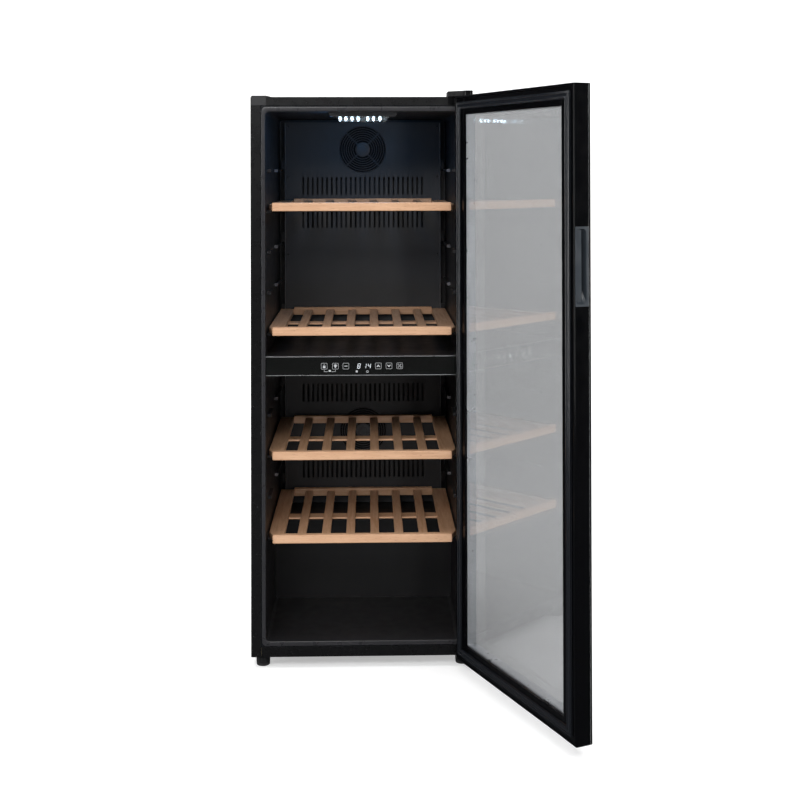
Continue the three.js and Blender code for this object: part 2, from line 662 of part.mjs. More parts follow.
// A steel arm that passes to the right of the cover's flange, with the pin that the door turns on.
function hingeBracket(plateBottom, plateTop, pinBottom, pinTop) {
  const arm = noseOutline(COVER.bracketLeft, COVER.bracketFront, COVER.wall + GAP);
  const pin = rodZ(HINGE.x, HINGE.y, pinBottom, pinTop, HINGE.pinRadius);
  return join(prismZ(arm, plateBottom, plateTop), pin);
}

function hingeCover() {
  const { left, top, wall, flangeRight, tie } = COVER;
  const shell = prismZ(noseOutline(left, 0, 0), TOP_PLATE_BOTTOM, top);
  const inside = prismZ(noseOutline(left + wall, wall, wall), TOP_PLATE_BOTTOM - 1, top - wall);
  const tieTop = TOP_PLATE_BOTTOM + wall;
  const flange = block([left, FLANGE.front, FLANGE.bottom], [flangeRight, FLANGE.back, tieTop]);
  const bridge = block([left, FLANGE.front, TOP_PLATE_BOTTOM], [flangeRight, tie, tieTop]);
  return join(cut(shell, inside), flange, bridge);
}

// A low cap over the unused hinge holes, sloping down to the right.
function cornerCap() {
  const low = TOP_PLATE_BOTTOM;
  const high = CABINET.height + CAP.height;
  const plate = prismY([[CAP.left, low], [CAP.right, low], [CAP.flat, high], [CAP.left, high]],
    FLANGE.front, CAP.back);
  const flange = block([CAP.left, FLANGE.front, FLANGE.bottom], [CAP.flat, FLANGE.back, low + 1]);
  return join(plate, flange);
}

addToCabinet("hinge_bracket_top", hingeBracket(TOP_PLATE_BOTTOM, TOP_PLATE_BOTTOM + HINGE.plate,
  DOOR.height - HINGE.pinReach, TOP_PLATE_BOTTOM + 1), finishes.zincSteel);
addToCabinet("hinge_bracket_bottom", hingeBracket(HINGE_PLATE_BOTTOM, -GAP,
  -GAP - 1, HINGE.pinReach), finishes.zincSteel);
addToCabinet("hinge_cover", hingeCover(), finishes.blackPlastic);
addToCabinet("corner_cap", cornerCap(), finishes.blackPlastic);

// ---------------------------------------------------------------- door
const frameFront = DOOR.outerFace + DOOR.glass + GAP;
const paneBack = DOOR.innerFace - DOOR.recess;
const paneFront = paneBack - DOOR.glass;
const BUSH = { radius: HINGE.pinRadius + GAP + HINGE.bushWall, length: HINGE.pinReach + 1 };

function glassPane(margin, front, back) {
  return block([DOOR.left + margin, front, margin], [DOOR.right - margin, back, DOOR.height - margin]);
}

// The hinge stile loses its inner corner, which swings closest to the cabinet, and takes a bush at each end.
function hingeStile() {
  const { right, innerFace, chamfer, stile, height } = DOOR;
  const section = [[right - stile, frameFront], [right, frameFront], [right, innerFace - chamfer],
    [right - chamfer, innerFace], [right - stile, innerFace]];
  const hole = (z0, z1) => rodZ(HINGE.x, HINGE.y, z0, z1, BUSH.radius + GAP);
  const deep = BUSH.length + GAP;
  return cut(prismZ(section, 0, height), hole(-1, deep), hole(height - deep, height + 1));
}

function freeStile() {
  const { left, innerFace, stile, height } = DOOR;
  const body = block([left, frameFront, 0], [left + stile, innerFace, height]);
  return cut(body, block([left - 1, GRIP.outer - GAP, GRIP.bottom - GAP],
    [left + GRIP.depth + GAP, GRIP.inner + GAP, GRIP.top + GAP]));
}

function doorRail(z0, z1) {
  const inset = DOOR.stile + GAP;
  return block([DOOR.left + inset, frameFront, z0], [DOOR.right - inset, DOOR.innerFace, z1]);
}

// A plastic cup sunk in the free edge: the fingers curl round its deeper outer half.
function grip() {
  const { bottom, top, depth, wall, inner, outer, wellInner, wellEnd, wellRadius } = GRIP;
  const cup = block([DOOR.left, outer, bottom], [DOOR.left + depth, inner, top]);
  const well = roundedRectangle(outer + wall, bottom + wellEnd, wellInner, top - wellEnd, wellRadius, 3);
  return cut(cup, prismX(well, DOOR.left - 1, DOOR.left + depth - wall));
}

function frameRing(outer, inner, y0, y1) {
  const edge = (margin) => rectangle(DOOR.left + margin, margin, DOOR.right - margin, DOOR.height - margin);
  return punched(prismY(edge(outer), y0, y1), [edge(inner)], y0, y1);
}

function bush(z0, z1) {
  const hole = rodZ(HINGE.x, HINGE.y, z0 - 1, z1 + 1, HINGE.pinRadius + GAP);
  return cut(rodZ(HINGE.x, HINGE.y, z0, z1, BUSH.radius), hole);
}

// The inner pane and the spacer sit in a rebate cut round the frame's inner edge.
function withPaneRebate(geometry) {
  const margin = DOOR.paneMargin - GAP;
  const pocket = block([DOOR.left + margin, frameFront - 1, margin],
    [DOOR.right - margin, paneBack + GAP, DOOR.height - margin]);
  return cut(geometry, pocket);
}

addToDoor("door_glass_outer", glassPane(0, DOOR.outerFace, DOOR.outerFace + DOOR.glass), finishes.glass);
addToDoor("door_glass_inner", glassPane(DOOR.paneMargin, paneFront, paneBack), finishes.glass);
addToDoor("glass_spacer", frameRing(DOOR.paneMargin, DOOR.paneMargin + DOOR.spacer,
  frameFront, paneFront - GAP), finishes.aluminium);
addToDoor("door_stile_hinge", withPaneRebate(hingeStile()), finishes.glossBlack);
addToDoor("door_stile_free", withPaneRebate(freeStile()), finishes.glossBlack);
addToDoor("door_rail_top",
  withPaneRebate(doorRail(DOOR.height - DOOR.rail, DOOR.height)), finishes.glossBlack);
addToDoor("door_rail_bottom", withPaneRebate(doorRail(0, DOOR.rail)), finishes.glossBlack);
addToDoor("door_gasket", frameRing(GASKET.outer, GASKET.inner,
  DOOR.innerFace + GAP, GASKET.face), finishes.rubber);
addToDoor("door_grip", grip(), finishes.gripPlastic);
addToDoor("door_bush_top", bush(DOOR.height - BUSH.length, DOOR.height), finishes.blackPlastic);
addToDoor("door_bush_bottom", bush(0, BUSH.length), finishes.blackPlastic);

export default cooler;
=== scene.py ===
import json
import math

import bmesh
import bpy
from mathutils import Matrix, Vector

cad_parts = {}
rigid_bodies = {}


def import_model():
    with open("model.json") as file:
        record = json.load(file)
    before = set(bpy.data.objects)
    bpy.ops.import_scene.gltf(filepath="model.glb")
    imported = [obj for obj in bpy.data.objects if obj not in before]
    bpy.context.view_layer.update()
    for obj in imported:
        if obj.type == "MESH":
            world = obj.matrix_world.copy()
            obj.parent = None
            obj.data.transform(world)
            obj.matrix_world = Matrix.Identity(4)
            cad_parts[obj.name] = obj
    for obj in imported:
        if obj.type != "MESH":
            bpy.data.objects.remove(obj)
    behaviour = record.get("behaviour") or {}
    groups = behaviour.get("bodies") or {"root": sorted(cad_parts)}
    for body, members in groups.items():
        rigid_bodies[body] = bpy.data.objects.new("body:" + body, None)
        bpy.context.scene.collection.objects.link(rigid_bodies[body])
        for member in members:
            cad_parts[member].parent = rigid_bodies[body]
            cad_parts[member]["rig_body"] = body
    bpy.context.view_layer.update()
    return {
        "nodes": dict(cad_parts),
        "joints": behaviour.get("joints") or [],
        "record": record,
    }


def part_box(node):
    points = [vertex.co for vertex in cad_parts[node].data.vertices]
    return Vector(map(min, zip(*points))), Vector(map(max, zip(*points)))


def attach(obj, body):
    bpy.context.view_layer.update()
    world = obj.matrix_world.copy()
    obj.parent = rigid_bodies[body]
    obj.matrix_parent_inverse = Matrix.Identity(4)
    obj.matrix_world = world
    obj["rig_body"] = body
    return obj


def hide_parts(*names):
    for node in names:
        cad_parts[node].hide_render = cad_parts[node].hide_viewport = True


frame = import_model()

MM = 0.001
SHARP = math.radians(32)  # edges bent more than this are rounded off

# ---------------------------------------------------------------- dimensions (mm)
WIDTH = 550
DEPTH = 575
HEIGHT = 1382
LEFT_WALL = 36
RIGHT_WALL = 514
FLOOR = 38
CEILING = 1346
DUCT_FACE = 506
FRONT_RAIL = 25
RIM_CORNER = 10.6
RIM_CROWN = 0.75

DOOR_LEFT = 1
DOOR_RIGHT = 549
DOOR_INNER_FACE = -7
DOOR_OUTER_FACE = -46.3
GLASS = 4
STILE = 51
PANE_MARGIN = 38
PANE_BACK = -13.5
FRIT_INNER = 45.5
GASKET_OUTER = 16
GASKET_INNER = 33
GRIP_LOW = 914
GRIP_HIGH = 1081.5
GRIP_DEPTH = 24
GRIP_OUTER = -41.5
GRIP_INNER = -8

LEDGE_PITCH = 103.1
LEDGE_TOPS = [1203.3 - LEDGE_PITCH * i for i in range(5)] + [585.8 - LEDGE_PITCH * i for i in range(4)]
SHELF_LEDGES = dict(zip(("top", "second", "third", "bottom"), (LEDGE_TOPS[i] for i in (1, 4, 6, 8))))
LEDGE_FRONT = 320
PLANK_WIDTH = 39
PLANK_THICKNESS = 14
SHELF_BACK = 500
REAR_RAIL = 18
STRIP_HEIGHT = 21
SLAT_WIDTH = 22
SLAT_PITCH = 61
SLAT_COUNT = 6
SLAT_THICKNESS = 9

FAN_HEIGHTS = (1260, 455)
GRILLE_HUB = 21
GRILLE_PITCH = 6.45
GRILLE_RINGS = 7
GRILLE_RADIUS = 67

LED_PLACES = (220.5, 235, 250.5, 266, 290, 304.5, 321)
LENS_TAPER = 10
LENS_WALL = 1.4
FASCIA_FACE = 5.5
PANEL_ROW = 715
KEYS = {"lock": 181, "lamp": 208.7, "zone": 234.7, "warmer": 315, "colder": 341.5, "degrees": 368}
FOOT_RADIUS = 17

# ---------------------------------------------------------------- where things are
CABINET = Matrix.Translation(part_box("side_panel_left")[0])
door_joint = next(joint for joint in frame["joints"] if joint["name"] == "door_hinge")
hinge_line = Matrix.Translation(door_joint["pos_m"])
door_opening = Matrix.Rotation(math.radians(-door_joint["range_deg"][0]), 4, "Z")
DOOR = hinge_line @ door_opening @ hinge_line.inverted() @ CABINET  # door pieces are drawn with the door shut

SLOT_OF = {part["node"]: part["material_slot"] for part in frame["record"]["subparts"]}


def local_box(node):
    """A cabinet node's lowest and highest corner, in millimetres from the case's corner."""
    return [(corner - CABINET.translation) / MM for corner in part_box(node)]


# ---------------------------------------------------------------- shapes
def rectangle(u0, v0, u1, v1):
    return [(u0, v0), (u1, v0), (u1, v1), (u0, v1)]


def arc(cu, cv, radius, start, end, steps):
    """Points on an arc, angles in degrees."""
    angles = [math.radians(start + (end - start) * i / steps) for i in range(steps + 1)]
    return [(cu + radius * math.cos(a), cv + radius * math.sin(a)) for a in angles]


def rounded_rectangle(u0, v0, u1, v1, radius, steps=6):
    return (arc(u1 - radius, v1 - radius, radius, 0, 90, steps)
            + arc(u0 + radius, v1 - radius, radius, 90, 180, steps)
            + arc(u0 + radius, v0 + radius, radius, 180, 270, steps)
            + arc(u1 - radius, v0 + radius, radius, 270, 360, steps))


AXES = {
    "x": lambda u, v, along: (along, u, v),
    "y": lambda u, v, along: (u, along, v),
    "z": lambda u, v, along: (u, v, along),
}


class Shape:
    """Closed solids drawn in millimetres, gathered into one mesh."""

    def __init__(self):
        self.mesh = bmesh.new()

    def loft(self, rings, closed=False):
        """A skin over rings of points, with both ends capped, or joined end to start if closed."""
        rows = [[self.mesh.verts.new(Vector(point) * MM) for point in ring] for ring in rings]
        pairs = list(zip(rows, rows[1:]))
        if closed:
            pairs.append((rows[-1], rows[0]))
        else:
            self.mesh.faces.new(rows[0])
            self.mesh.faces.new(rows[-1])
        for near, far in pairs:
            for i, point in enumerate(near):
                after = (i + 1) % len(near)
                self.mesh.faces.new((point, near[after], far[after], far[i]))
        return self

    def prism(self, outline, axis, start, end):
        place = AXES[axis]
        return self.loft([[place(u, v, along) for u, v in outline] for along in (start, end)])

    def stack(self, levels, axis):
        """Outlines at different places along an axis: a list of (outline, place)."""
        place = AXES[axis]
        return self.loft([[place(u, v, along) for u, v in outline] for outline, along in levels])

    def block(self, low, high):
        return self.prism(rectangle(low[0], low[1], high[0], high[1]), "z", low[2], high[2])

    def turned(self, profile, axis, centre, steps=32, lobes=0, lobe_depth=0.0):
        """A profile of (radius, place) turned about an axis; lobes make its edge wavy for the fingers."""
        rings = []
        for radius, along in profile:
            ring = []
            for i in range(steps):
                angle = 2 * math.pi * i / steps
                r = radius * (1 - lobe_depth * (0.5 - 0.5 * math.cos(lobes * angle)))
                ring.append((centre[0] + r * math.cos(angle), centre[1] + r * math.sin(angle)))
            rings.append((ring, along))
        return self.stack(rings, axis)

    def hoop(self, section, centre):
        """A ring about the Y axis: a closed section of (radius, Y) points turned right round."""
        around = arc(0, 0, 1, 0, 360, 96)[:-1]
        return self.loft([[(centre[0] + radius * c, y, centre[1] + radius * s) for c, s in around]
                          for radius, y in section], closed=True)

    def border(self, outer, inner, profile):
        """A mitred border between two upright rectangles; the profile is (share of the way in, Y)."""
        rings = []
        for (outer_x, outer_z), (inner_x, inner_z) in zip(rectangle(*outer), rectangle(*inner)):
            rings.append([(outer_x + (inner_x - outer_x) * share, y, outer_z + (inner_z - outer_z) * share)
                          for share, y in profile])
        return self.loft(rings, closed=True)

    def rounded_border(self, outer, inner, radius, profile):
        """The same with round corners in place of the mitres."""
        rings = []
        for share, y in profile:
            corners = [start + (end - start) * share for start, end in zip(outer, inner)]
            rings.append([(x, y, z) for x, z in rounded_rectangle(*corners, radius)])
        return self.loft(rings, closed=True)


def round_edges(obj, width, segments=2):
    obj.data.shade_smooth()
    obj.data.set_sharp_from_angle(angle=SHARP)
    if width:
        bevel = obj.modifiers.new("rounded edges", "BEVEL")
        bevel.width = width * MM
        bevel.segments = segments
        bevel.limit_method = "ANGLE"
        bevel.angle_limit = SHARP
        bevel.harden_normals = True
    flat_faces = obj.modifiers.new("flat faces stay flat", "WEIGHTED_NORMAL")
    flat_faces.keep_sharp = True


def finish_piece(name, mesh, body, slot, place, bevel, material=None):
    data = bpy.data.meshes.new(name)
    bmesh.ops.remove_doubles(mesh, verts=mesh.verts, dist=0.001 * MM)
    bmesh.ops.recalc_face_normals(mesh, faces=mesh.faces)
    mesh.to_mesh(data)
    mesh.free()
    obj = bpy.data.objects.new(name, data)
    bpy.context.scene.collection.objects.link(obj)
    obj.matrix_world = place
    data.materials.append(material or FINISHES[slot])
    round_edges(obj, bevel)
    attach(obj, body)
    return obj


def piece(name, shape, body, slot, bevel=0.0, material=None, replaces=()):
    place = DOOR if body == "door" else CABINET
    obj = finish_piece(name, shape.mesh, body, slot, place, bevel, material)
    if replaces:
        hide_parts(*replaces)
    return obj


def skin(node, bevel):
    """The CAD node's own shape with welded, rounded edges, shown in its place."""
    mesh = bmesh.new()
    mesh.from_mesh(frame["nodes"][node].data)
    bmesh.ops.remove_doubles(mesh, verts=mesh.verts, dist=0.01 * MM)
    bmesh.ops.dissolve_limit(mesh, angle_limit=math.radians(1), verts=mesh.verts, edges=mesh.edges)
    body = frame["nodes"][node]["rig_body"]
    obj = finish_piece(node + "_rounded", mesh, body, SLOT_OF[node], Matrix.Identity(4), bevel,
                       OWN_FINISH.get(node))
    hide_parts(node)


# ---------------------------------------------------------------- materials
class Finish:
    """A material under way: one Principled surface and the procedural nodes that feed it."""

    def __init__(self, name, sockets):
        self.material = bpy.data.materials.new(name)
        self.material.use_nodes = True
        self.nodes = self.material.node_tree.nodes
        self.link = self.material.node_tree.links.new
        self.surface = self.nodes["Principled BSDF"]
        self.output = self.nodes["Material Output"]
        for socket, value in sockets.items():
            self.surface.inputs[socket].default_value = value
        self.where = self.nodes.new("ShaderNodeTexCoord").outputs["Object"]

    def stretched(self, scale, offset=None):
        mapping = self.nodes.new("ShaderNodeMapping")
        mapping.inputs["Scale"].default_value = scale
        self.link(self.where, mapping.inputs["Vector"])
        if offset:
            self.link(offset, mapping.inputs["Location"])
        return mapping.outputs["Vector"]

    def noise(self, scale, detail=3.0, stretch=(1, 1, 1), offset=None, distortion=0.0):
        noise = self.nodes.new("ShaderNodeTexNoise")
        noise.inputs["Scale"].default_value = scale
        noise.inputs["Detail"].default_value = detail
        noise.inputs["Distortion"].default_value = distortion
        self.link(self.stretched(stretch, offset), noise.inputs["Vector"])
        return noise.outputs["Fac"]

    def between(self, value, low, high, start=0.3, end=0.7):
        """value, which runs from start to end, made to run from low to high."""
        remap = self.nodes.new("ShaderNodeMapRange")
        remap.inputs["From Min"].default_value = start
        remap.inputs["From Max"].default_value = end
        remap.inputs["To Min"].default_value = low
        remap.inputs["To Max"].default_value = high
        self.link(value, remap.inputs["Value"])
        return remap.outputs["Result"]

    def mixed(self, factor, first, second):
        """A colour between two, each a colour or a node's output."""
        mix = self.nodes.new("ShaderNodeMix")
        mix.data_type = "RGBA"
        self.link(factor, mix.inputs["Factor"])
        for socket, colour in (("A", first), ("B", second)):
            slot = next(s for s in mix.inputs if s.name == socket and s.type == "RGBA")
            if isinstance(colour, tuple):
                slot.default_value = (*colour, 1)
            else:
                self.link(colour, slot)
        return next(s for s in mix.outputs if s.type == "RGBA")

    def colour(self, output):
        self.link(output, self.surface.inputs["Base Color"])

    def gloss(self, output):
        self.link(output, self.surface.inputs["Roughness"])

    def relief(self, *layers):
        """Bumps in layers of (height output, height in mm)."""
        normal = None
        for height, depth in layers:
            bump = self.nodes.new("ShaderNodeBump")
            bump.inputs["Strength"].default_value = 1
            bump.inputs["Distance"].default_value = depth * MM
            self.link(height, bump.inputs["Height"])
            if normal:
                self.link(normal, bump.inputs["Normal"])
            normal = bump.outputs["Normal"]
        self.link(normal, self.surface.inputs["Normal"])


def scaled(colour, factor):
    return tuple(channel * factor for channel in colour)


def worn(name, colour, roughness, grain, grain_depth, mottling=0.05, stretch=(1, 1, 1), **sockets):
    """A finish with fine grain, slow changes of shade, and handling marks in its gloss."""
    named = {key.replace("_", " "): value for key, value in sockets.items()}
    finish = Finish(name, named)
    patches = finish.noise(7, 4)
    marks = finish.noise(35, 4)
    fine = finish.noise(grain, 2, stretch)
    shade = finish.mixed(finish.between(patches, 0, 1), scaled(colour, 0.88), scaled(colour, 1.14))
    finish.colour(finish.mixed(finish.between(fine, 0, 0.35), shade, scaled(colour, 1.3)))
    finish.gloss(finish.between(marks, roughness - mottling, roughness + mottling))
    finish.relief((fine, grain_depth), (patches, grain_depth * 2))
    return finish.material


def beech(name, along):
    """Steamed beech, oiled: grain lines, short dark rays, and a shade of its own for each board."""
    across = 14
    grain = tuple(1 if axis == along else across for axis in "xyz")
    flecks = tuple(5 if axis == along else 46 for axis in "xyz")
    finish = Finish(name, {"Coat Weight": 0.12, "Coat Roughness": 0.28, "Specular IOR Level": 0.4})
    board = finish.nodes.new("ShaderNodeNewGeometry").outputs["Random Per Island"]
    shift = finish.between(board, 0, 9, 0, 1)
    lines = finish.noise(9, 6, grain, shift, distortion=0.9)
    rays = finish.noise(16, 2, flecks, shift)
    pores = finish.noise(60, 1, flecks, shift)
    wood = finish.mixed(finish.between(lines, 0, 1, 0.32, 0.68), (0.64, 0.385, 0.232), (0.50, 0.268, 0.143))
    toned = finish.mixed(finish.between(board, 0, 0.35, 0, 1), wood, (0.70, 0.44, 0.278))
    rayed = finish.mixed(finish.between(rays, 0, 0.75, 0.63, 0.72), toned, (0.34, 0.17, 0.09))
    finish.colour(rayed)
    finish.gloss(finish.between(lines, 0.40, 0.56))
    finish.relief((lines, 0.05), (pores, 0.03))
    return finish.material


def door_glass():
    """Grey-tinted glass. Lamps shine through it by the mix with a plain tinted pane for shadow rays."""
    finish = Finish("tinted_glass", {
        "Base Color": (0.60, 0.605, 0.61, 1), "Transmission Weight": 1, "IOR": 1.5, "Roughness": 0,
    })
    finish.gloss(finish.between(finish.noise(9, 6, distortion=1.2), 0, 0.012, 0.45, 0.75))
    clear = finish.nodes.new("ShaderNodeBsdfTransparent")
    clear.inputs["Color"].default_value = (0.60, 0.605, 0.61, 1)
    path = finish.nodes.new("ShaderNodeLightPath")
    mix = finish.nodes.new("ShaderNodeMixShader")
    finish.link(path.outputs["Is Shadow Ray"], mix.inputs["Fac"])
    finish.link(finish.surface.outputs["BSDF"], mix.inputs[1])
    finish.link(clear.outputs["BSDF"], mix.inputs[2])
    finish.link(mix.outputs["Shader"], finish.output.inputs["Surface"])
    return finish.material


def circuit_board():
    """Green solder mask with copper tracks under it."""
    finish = Finish("circuit_board", {"Specular IOR Level": 0.5})
    tracks = finish.nodes.new("ShaderNodeTexBrick")
    tracks.inputs["Scale"].default_value = 160
    tracks.inputs["Mortar Size"].default_value = 0.09
    tracks.inputs["Color1"].default_value = (0.012, 0.075, 0.03, 1)
    tracks.inputs["Color2"].default_value = (0.016, 0.105, 0.042, 1)
    tracks.inputs["Mortar"].default_value = (0.05, 0.19, 0.07, 1)
    finish.link(finish.where, tracks.inputs["Vector"])
    finish.colour(tracks.outputs["Color"])
    finish.gloss(finish.between(finish.noise(80), 0.28, 0.45))
    finish.relief((tracks.outputs["Fac"], 0.04))
    return finish.material


def glowing(name, colour, strength):
    finish = Finish(name, {"Base Color": (*colour, 1), "Roughness": 0.4, "Emission Strength": strength})
    glow = finish.mixed(finish.noise(300), scaled(colour, 0.92), colour)
    finish.link(glow, finish.surface.inputs["Emission Color"])
    return finish.material


FINISHES = {
    "case_steel": worn("black_enamel", (0.0042, 0.0042, 0.0046), 0.28, 900, 0.010, 0.03,
                       Specular_IOR_Level=0.32),
    "liner_plastic": worn("liner_plastic", (0.0115, 0.0112, 0.0125), 0.40, 700, 0.05),
    "black_plastic": worn("black_plastic", (0.0095, 0.0095, 0.0105), 0.38, 800, 0.05),
    "gloss_black": worn("gloss_black", (0.0032, 0.0032, 0.0045), 0.10, 300, 0.002, 0.03),
    "grip_plastic": worn("grip_plastic", (0.027, 0.033, 0.040), 0.22, 900, 0.01),
    "rubber": worn("foot_rubber", (0.02, 0.02, 0.021), 0.62, 600, 0.08),
    "seal": worn("gasket_vinyl", (0.0052, 0.0065, 0.0090), 0.22, 500, 0.002, 0.03),
    "foam": worn("insulation_foam", (0.62, 0.53, 0.30), 0.9, 250, 0.5),
    "aluminium": worn("aluminium", (0.62, 0.63, 0.65), 0.33, 500, 0.02, 0.08, (1, 1, 30), Metallic=1.0),
    "zinc_steel": worn("zinc_plated_steel", (0.50, 0.51, 0.53), 0.36, 120, 0.02, 0.1, Metallic=1.0),
    "dark_steel": worn("black_painted_steel", (0.018, 0.018, 0.02), 0.42, 300, 0.05, 0.08, Metallic=0.2),
    "copper": worn("copper_tube", (0.72, 0.36, 0.21), 0.30, 240, 0.02, 0.1, Metallic=1.0),
    "beech": beech("beech_across", "x"),
    "glass": door_glass(),
    "circuit_board": circuit_board(),
    "lamp_lens": worn("lamp_lens", (0.86, 0.92, 0.98), 0.10, 400, 0.01, 0.04,
                      Transmission_Weight=0.96, IOR=1.49),
}
BEECH_LENGTHWISE = beech("beech_lengthwise", "y")
# Pale grey liner plastic for the ledges' front tips: a painted highlight of their lit ends.
LEDGE_TIP_HIGHLIGHT = worn("ledge_tip_painted_highlight", (0.15, 0.15, 0.16), 0.35, 500, 0.03)
# The liner plastic made lighter for the rim's front face: partly its satin finish, partly painted sheen.
RIM_FACE_SHEEN = worn("rim_face_plastic_painted_sheen", (0.021, 0.0205, 0.023), 0.30, 700, 0.01)
DUCT_GREY = worn("duct_plastic", (0.031, 0.032, 0.035), 0.42, 700, 0.05)
FAN_HUB = worn("fan_hub_plastic", (0.055, 0.057, 0.062), 0.38, 700, 0.03)
# Pale grey for the duct panels' rounded side edges: a painted highlight along them.
DUCT_EDGE_HIGHLIGHT = worn("duct_edge_painted_highlight", (0.12, 0.122, 0.13), 0.35, 500, 0.02)
# Near-black plastic for the fans behind the duct panel: painted shade of the hollow behind the grille.
FAN_SHADED_BLACK = worn("fan_plastic_painted_shade", (0.002, 0.002, 0.0022), 0.5, 600, 0.02, Specular_IOR_Level=0.2)
COVER_BLACK = worn("cover_plastic", (0.0020, 0.0020, 0.0023), 0.18, 900, 0.01, 0.03, Specular_IOR_Level=0.25)
DOOR_BLACK = worn("door_frame_plastic", (0.0010, 0.0011, 0.0015), 0.14, 300, 0.002, 0.03,
                  Specular_IOR_Level=0.14)
FRIT_BLACK = worn("glass_border_enamel", (0.0015, 0.0016, 0.0019), 0.5, 300, 0.002, Specular_IOR_Level=0.05)
FIN_COATING = worn("coated_fins", (0.006, 0.006, 0.007), 0.4, 300, 0.02, 0.05, Specular_IOR_Level=0.3)
FASCIA_BLACK = worn("fascia_panel", (0.0050, 0.0054, 0.0050), 0.12, 300, 0.002, 0.02)
PRINT = glowing("panel_print", (0.36, 0.37, 0.38), 0.42)
DIGITS = glowing("display_digits", (0.62, 0.66, 0.70), 0.7)
LED = glowing("led_light", (0.72, 0.88, 1.0), 9)
OWN_FINISH = {
    "duct_panel_upper": DUCT_GREY, "duct_panel_lower": DUCT_GREY,
    "fan_frame_upper": FAN_SHADED_BLACK, "fan_frame_lower": FAN_SHADED_BLACK,
    "fan_rotor_upper": FAN_SHADED_BLACK, "fan_rotor_lower": FAN_SHADED_BLACK,
    "evaporator_upper": FIN_COATING, "evaporator_lower": FIN_COATING,
    "hinge_cover": COVER_BLACK, "control_fascia": FASCIA_BLACK, "lamp_housing": DUCT_GREY,
    "door_stile_hinge": DOOR_BLACK, "door_rail_top": DOOR_BLACK, "door_rail_bottom": DOOR_BLACK,
}

# ---------------------------------------------------------------- nodes that keep their own shape
HIDDEN = ["insulation_left", "insulation_right", "insulation_top", "insulation_floor", "insulation_back",
          "insulation_step", "control_board", "led_board", "evaporator_upper", "evaporator_lower"]
for node in HIDDEN:
    data = frame["nodes"][node].data
    data.materials.clear()
    data.materials.append(OWN_FINISH.get(node) or FINISHES[SLOT_OF[node]])

# Rounding in millimetres, and the nodes that get it.
ROUNDED = [
    (0, ["condenser_coil"]),
    (0.3, ["hinge_bracket_top", "hinge_bracket_bottom", "glass_spacer"]),
    (0.5, ["duct_panel_upper", "duct_panel_lower", "fan_frame_upper", "fan_frame_lower", "fan_rotor_upper",
           "fan_rotor_lower", "back_panel", "compressor", "control_fascia", "door_glass_outer",
           "door_glass_inner"]),
    (0.8, ["side_panel_left", "side_panel_right", "top_panel", "bottom_plate", "liner", "divider",
           "lamp_housing", "rear_cover", "drip_tray", "power_unit", "mains_inlet", "hinge_cover",
           "corner_cap", "door_bush_top", "door_bush_bottom"]),
    (1.1, ["door_stile_hinge", "door_rail_top", "door_rail_bottom"]),
]
for bevel, nodes in ROUNDED:
    for node in nodes:
        skin(node, bevel)


# ---------------------------------------------------------------- screws
def screw_head(shape, x, y, z, facing, radius=3.6):
    """A cross-head screw on a face that looks along Y; facing is -1 for the front and 1 for the back."""
    steps = 24
    arm, slot = radius * 0.55, radius * 0.13
    quarter_cross = [(arm, -slot), (arm, 0), (arm, slot), (arm * 0.6, slot), (slot * 1.6, slot), (slot, slot)]
    cross = []
    for quarter in range(4):
        turn = math.radians(90 * quarter)
        for u, v in quarter_cross:
            cross.append((x + u * math.cos(turn) - v * math.sin(turn),
                          z + u * math.sin(turn) + v * math.cos(turn)))
    first = math.atan2(-slot, arm)
    circle = [(math.cos(first + 2 * math.pi * i / steps), math.sin(first + 2 * math.pi * i / steps))
              for i in range(steps)]
    levels = [([(x + radius * r * c, z + radius * r * s) for c, s in circle], y + facing * rise)
              for r, rise in ((1, -0.2), (1, 0.5), (0.93, 1.0), (0.74, 1.35))]
    levels += [(cross, y + facing * 1.4), (cross, y + facing * 0.5)]
    shape.stack(levels, "y")


back_screws = Shape()
for x in (12, WIDTH / 2, WIDTH - 12):
    for z in (262, 640, 1010, 1370):
        screw_head(back_screws, x, DEPTH, z, 1)
for x in (14, 190, 360, WIDTH - 14):
    for z in (12, 226):
        screw_head(back_screws, x, DEPTH + 0.8, z, 1)
piece("back_screws", back_screws, "cabinet", "zinc_steel")

duct_screws = Shape()
for x in (62, WIDTH - 62):
    for z in (262, 430, 678, 756, 960, 1182, 1326):
        screw_head(duct_screws, x, DUCT_FACE, z, -1, 3)
piece("duct_screws", duct_screws, "cabinet", "black_plastic")

# ---------------------------------------------------------------- feet
for place in ("front_left", "front_right", "rear_left", "rear_right"):
    node = "foot_" + place
    low, high = local_box(node)
    centre = ((low.x + high.x) / 2, (low.y + high.y) / 2)
    base = low.z
    sole = Shape().turned([(FOOT_RADIUS - 3.5, base), (FOOT_RADIUS - 1.3, base + 0.9),
                           (FOOT_RADIUS - 0.4, base + 2.8), (FOOT_RADIUS - 0.4, base + 6.6)], "z", centre, 48)
    piece(f"foot_sole_{place}", sole, "cabinet", "rubber", 0.3)
    knob = Shape().turned([(FOOT_RADIUS - 0.8, base + 6.7), (FOOT_RADIUS, base + 7.6),
                           (FOOT_RADIUS, base + 21.4), (FOOT_RADIUS - 1.6, base + 22.6),
                           (8.2, base + 23), (7.4, base + 23.4), (7.4, high.z)], "z", centre, 96, 12, 0.05)
    piece(f"foot_knob_{place}", knob, "cabinet", "black_plastic", 0.0, replaces=[node])

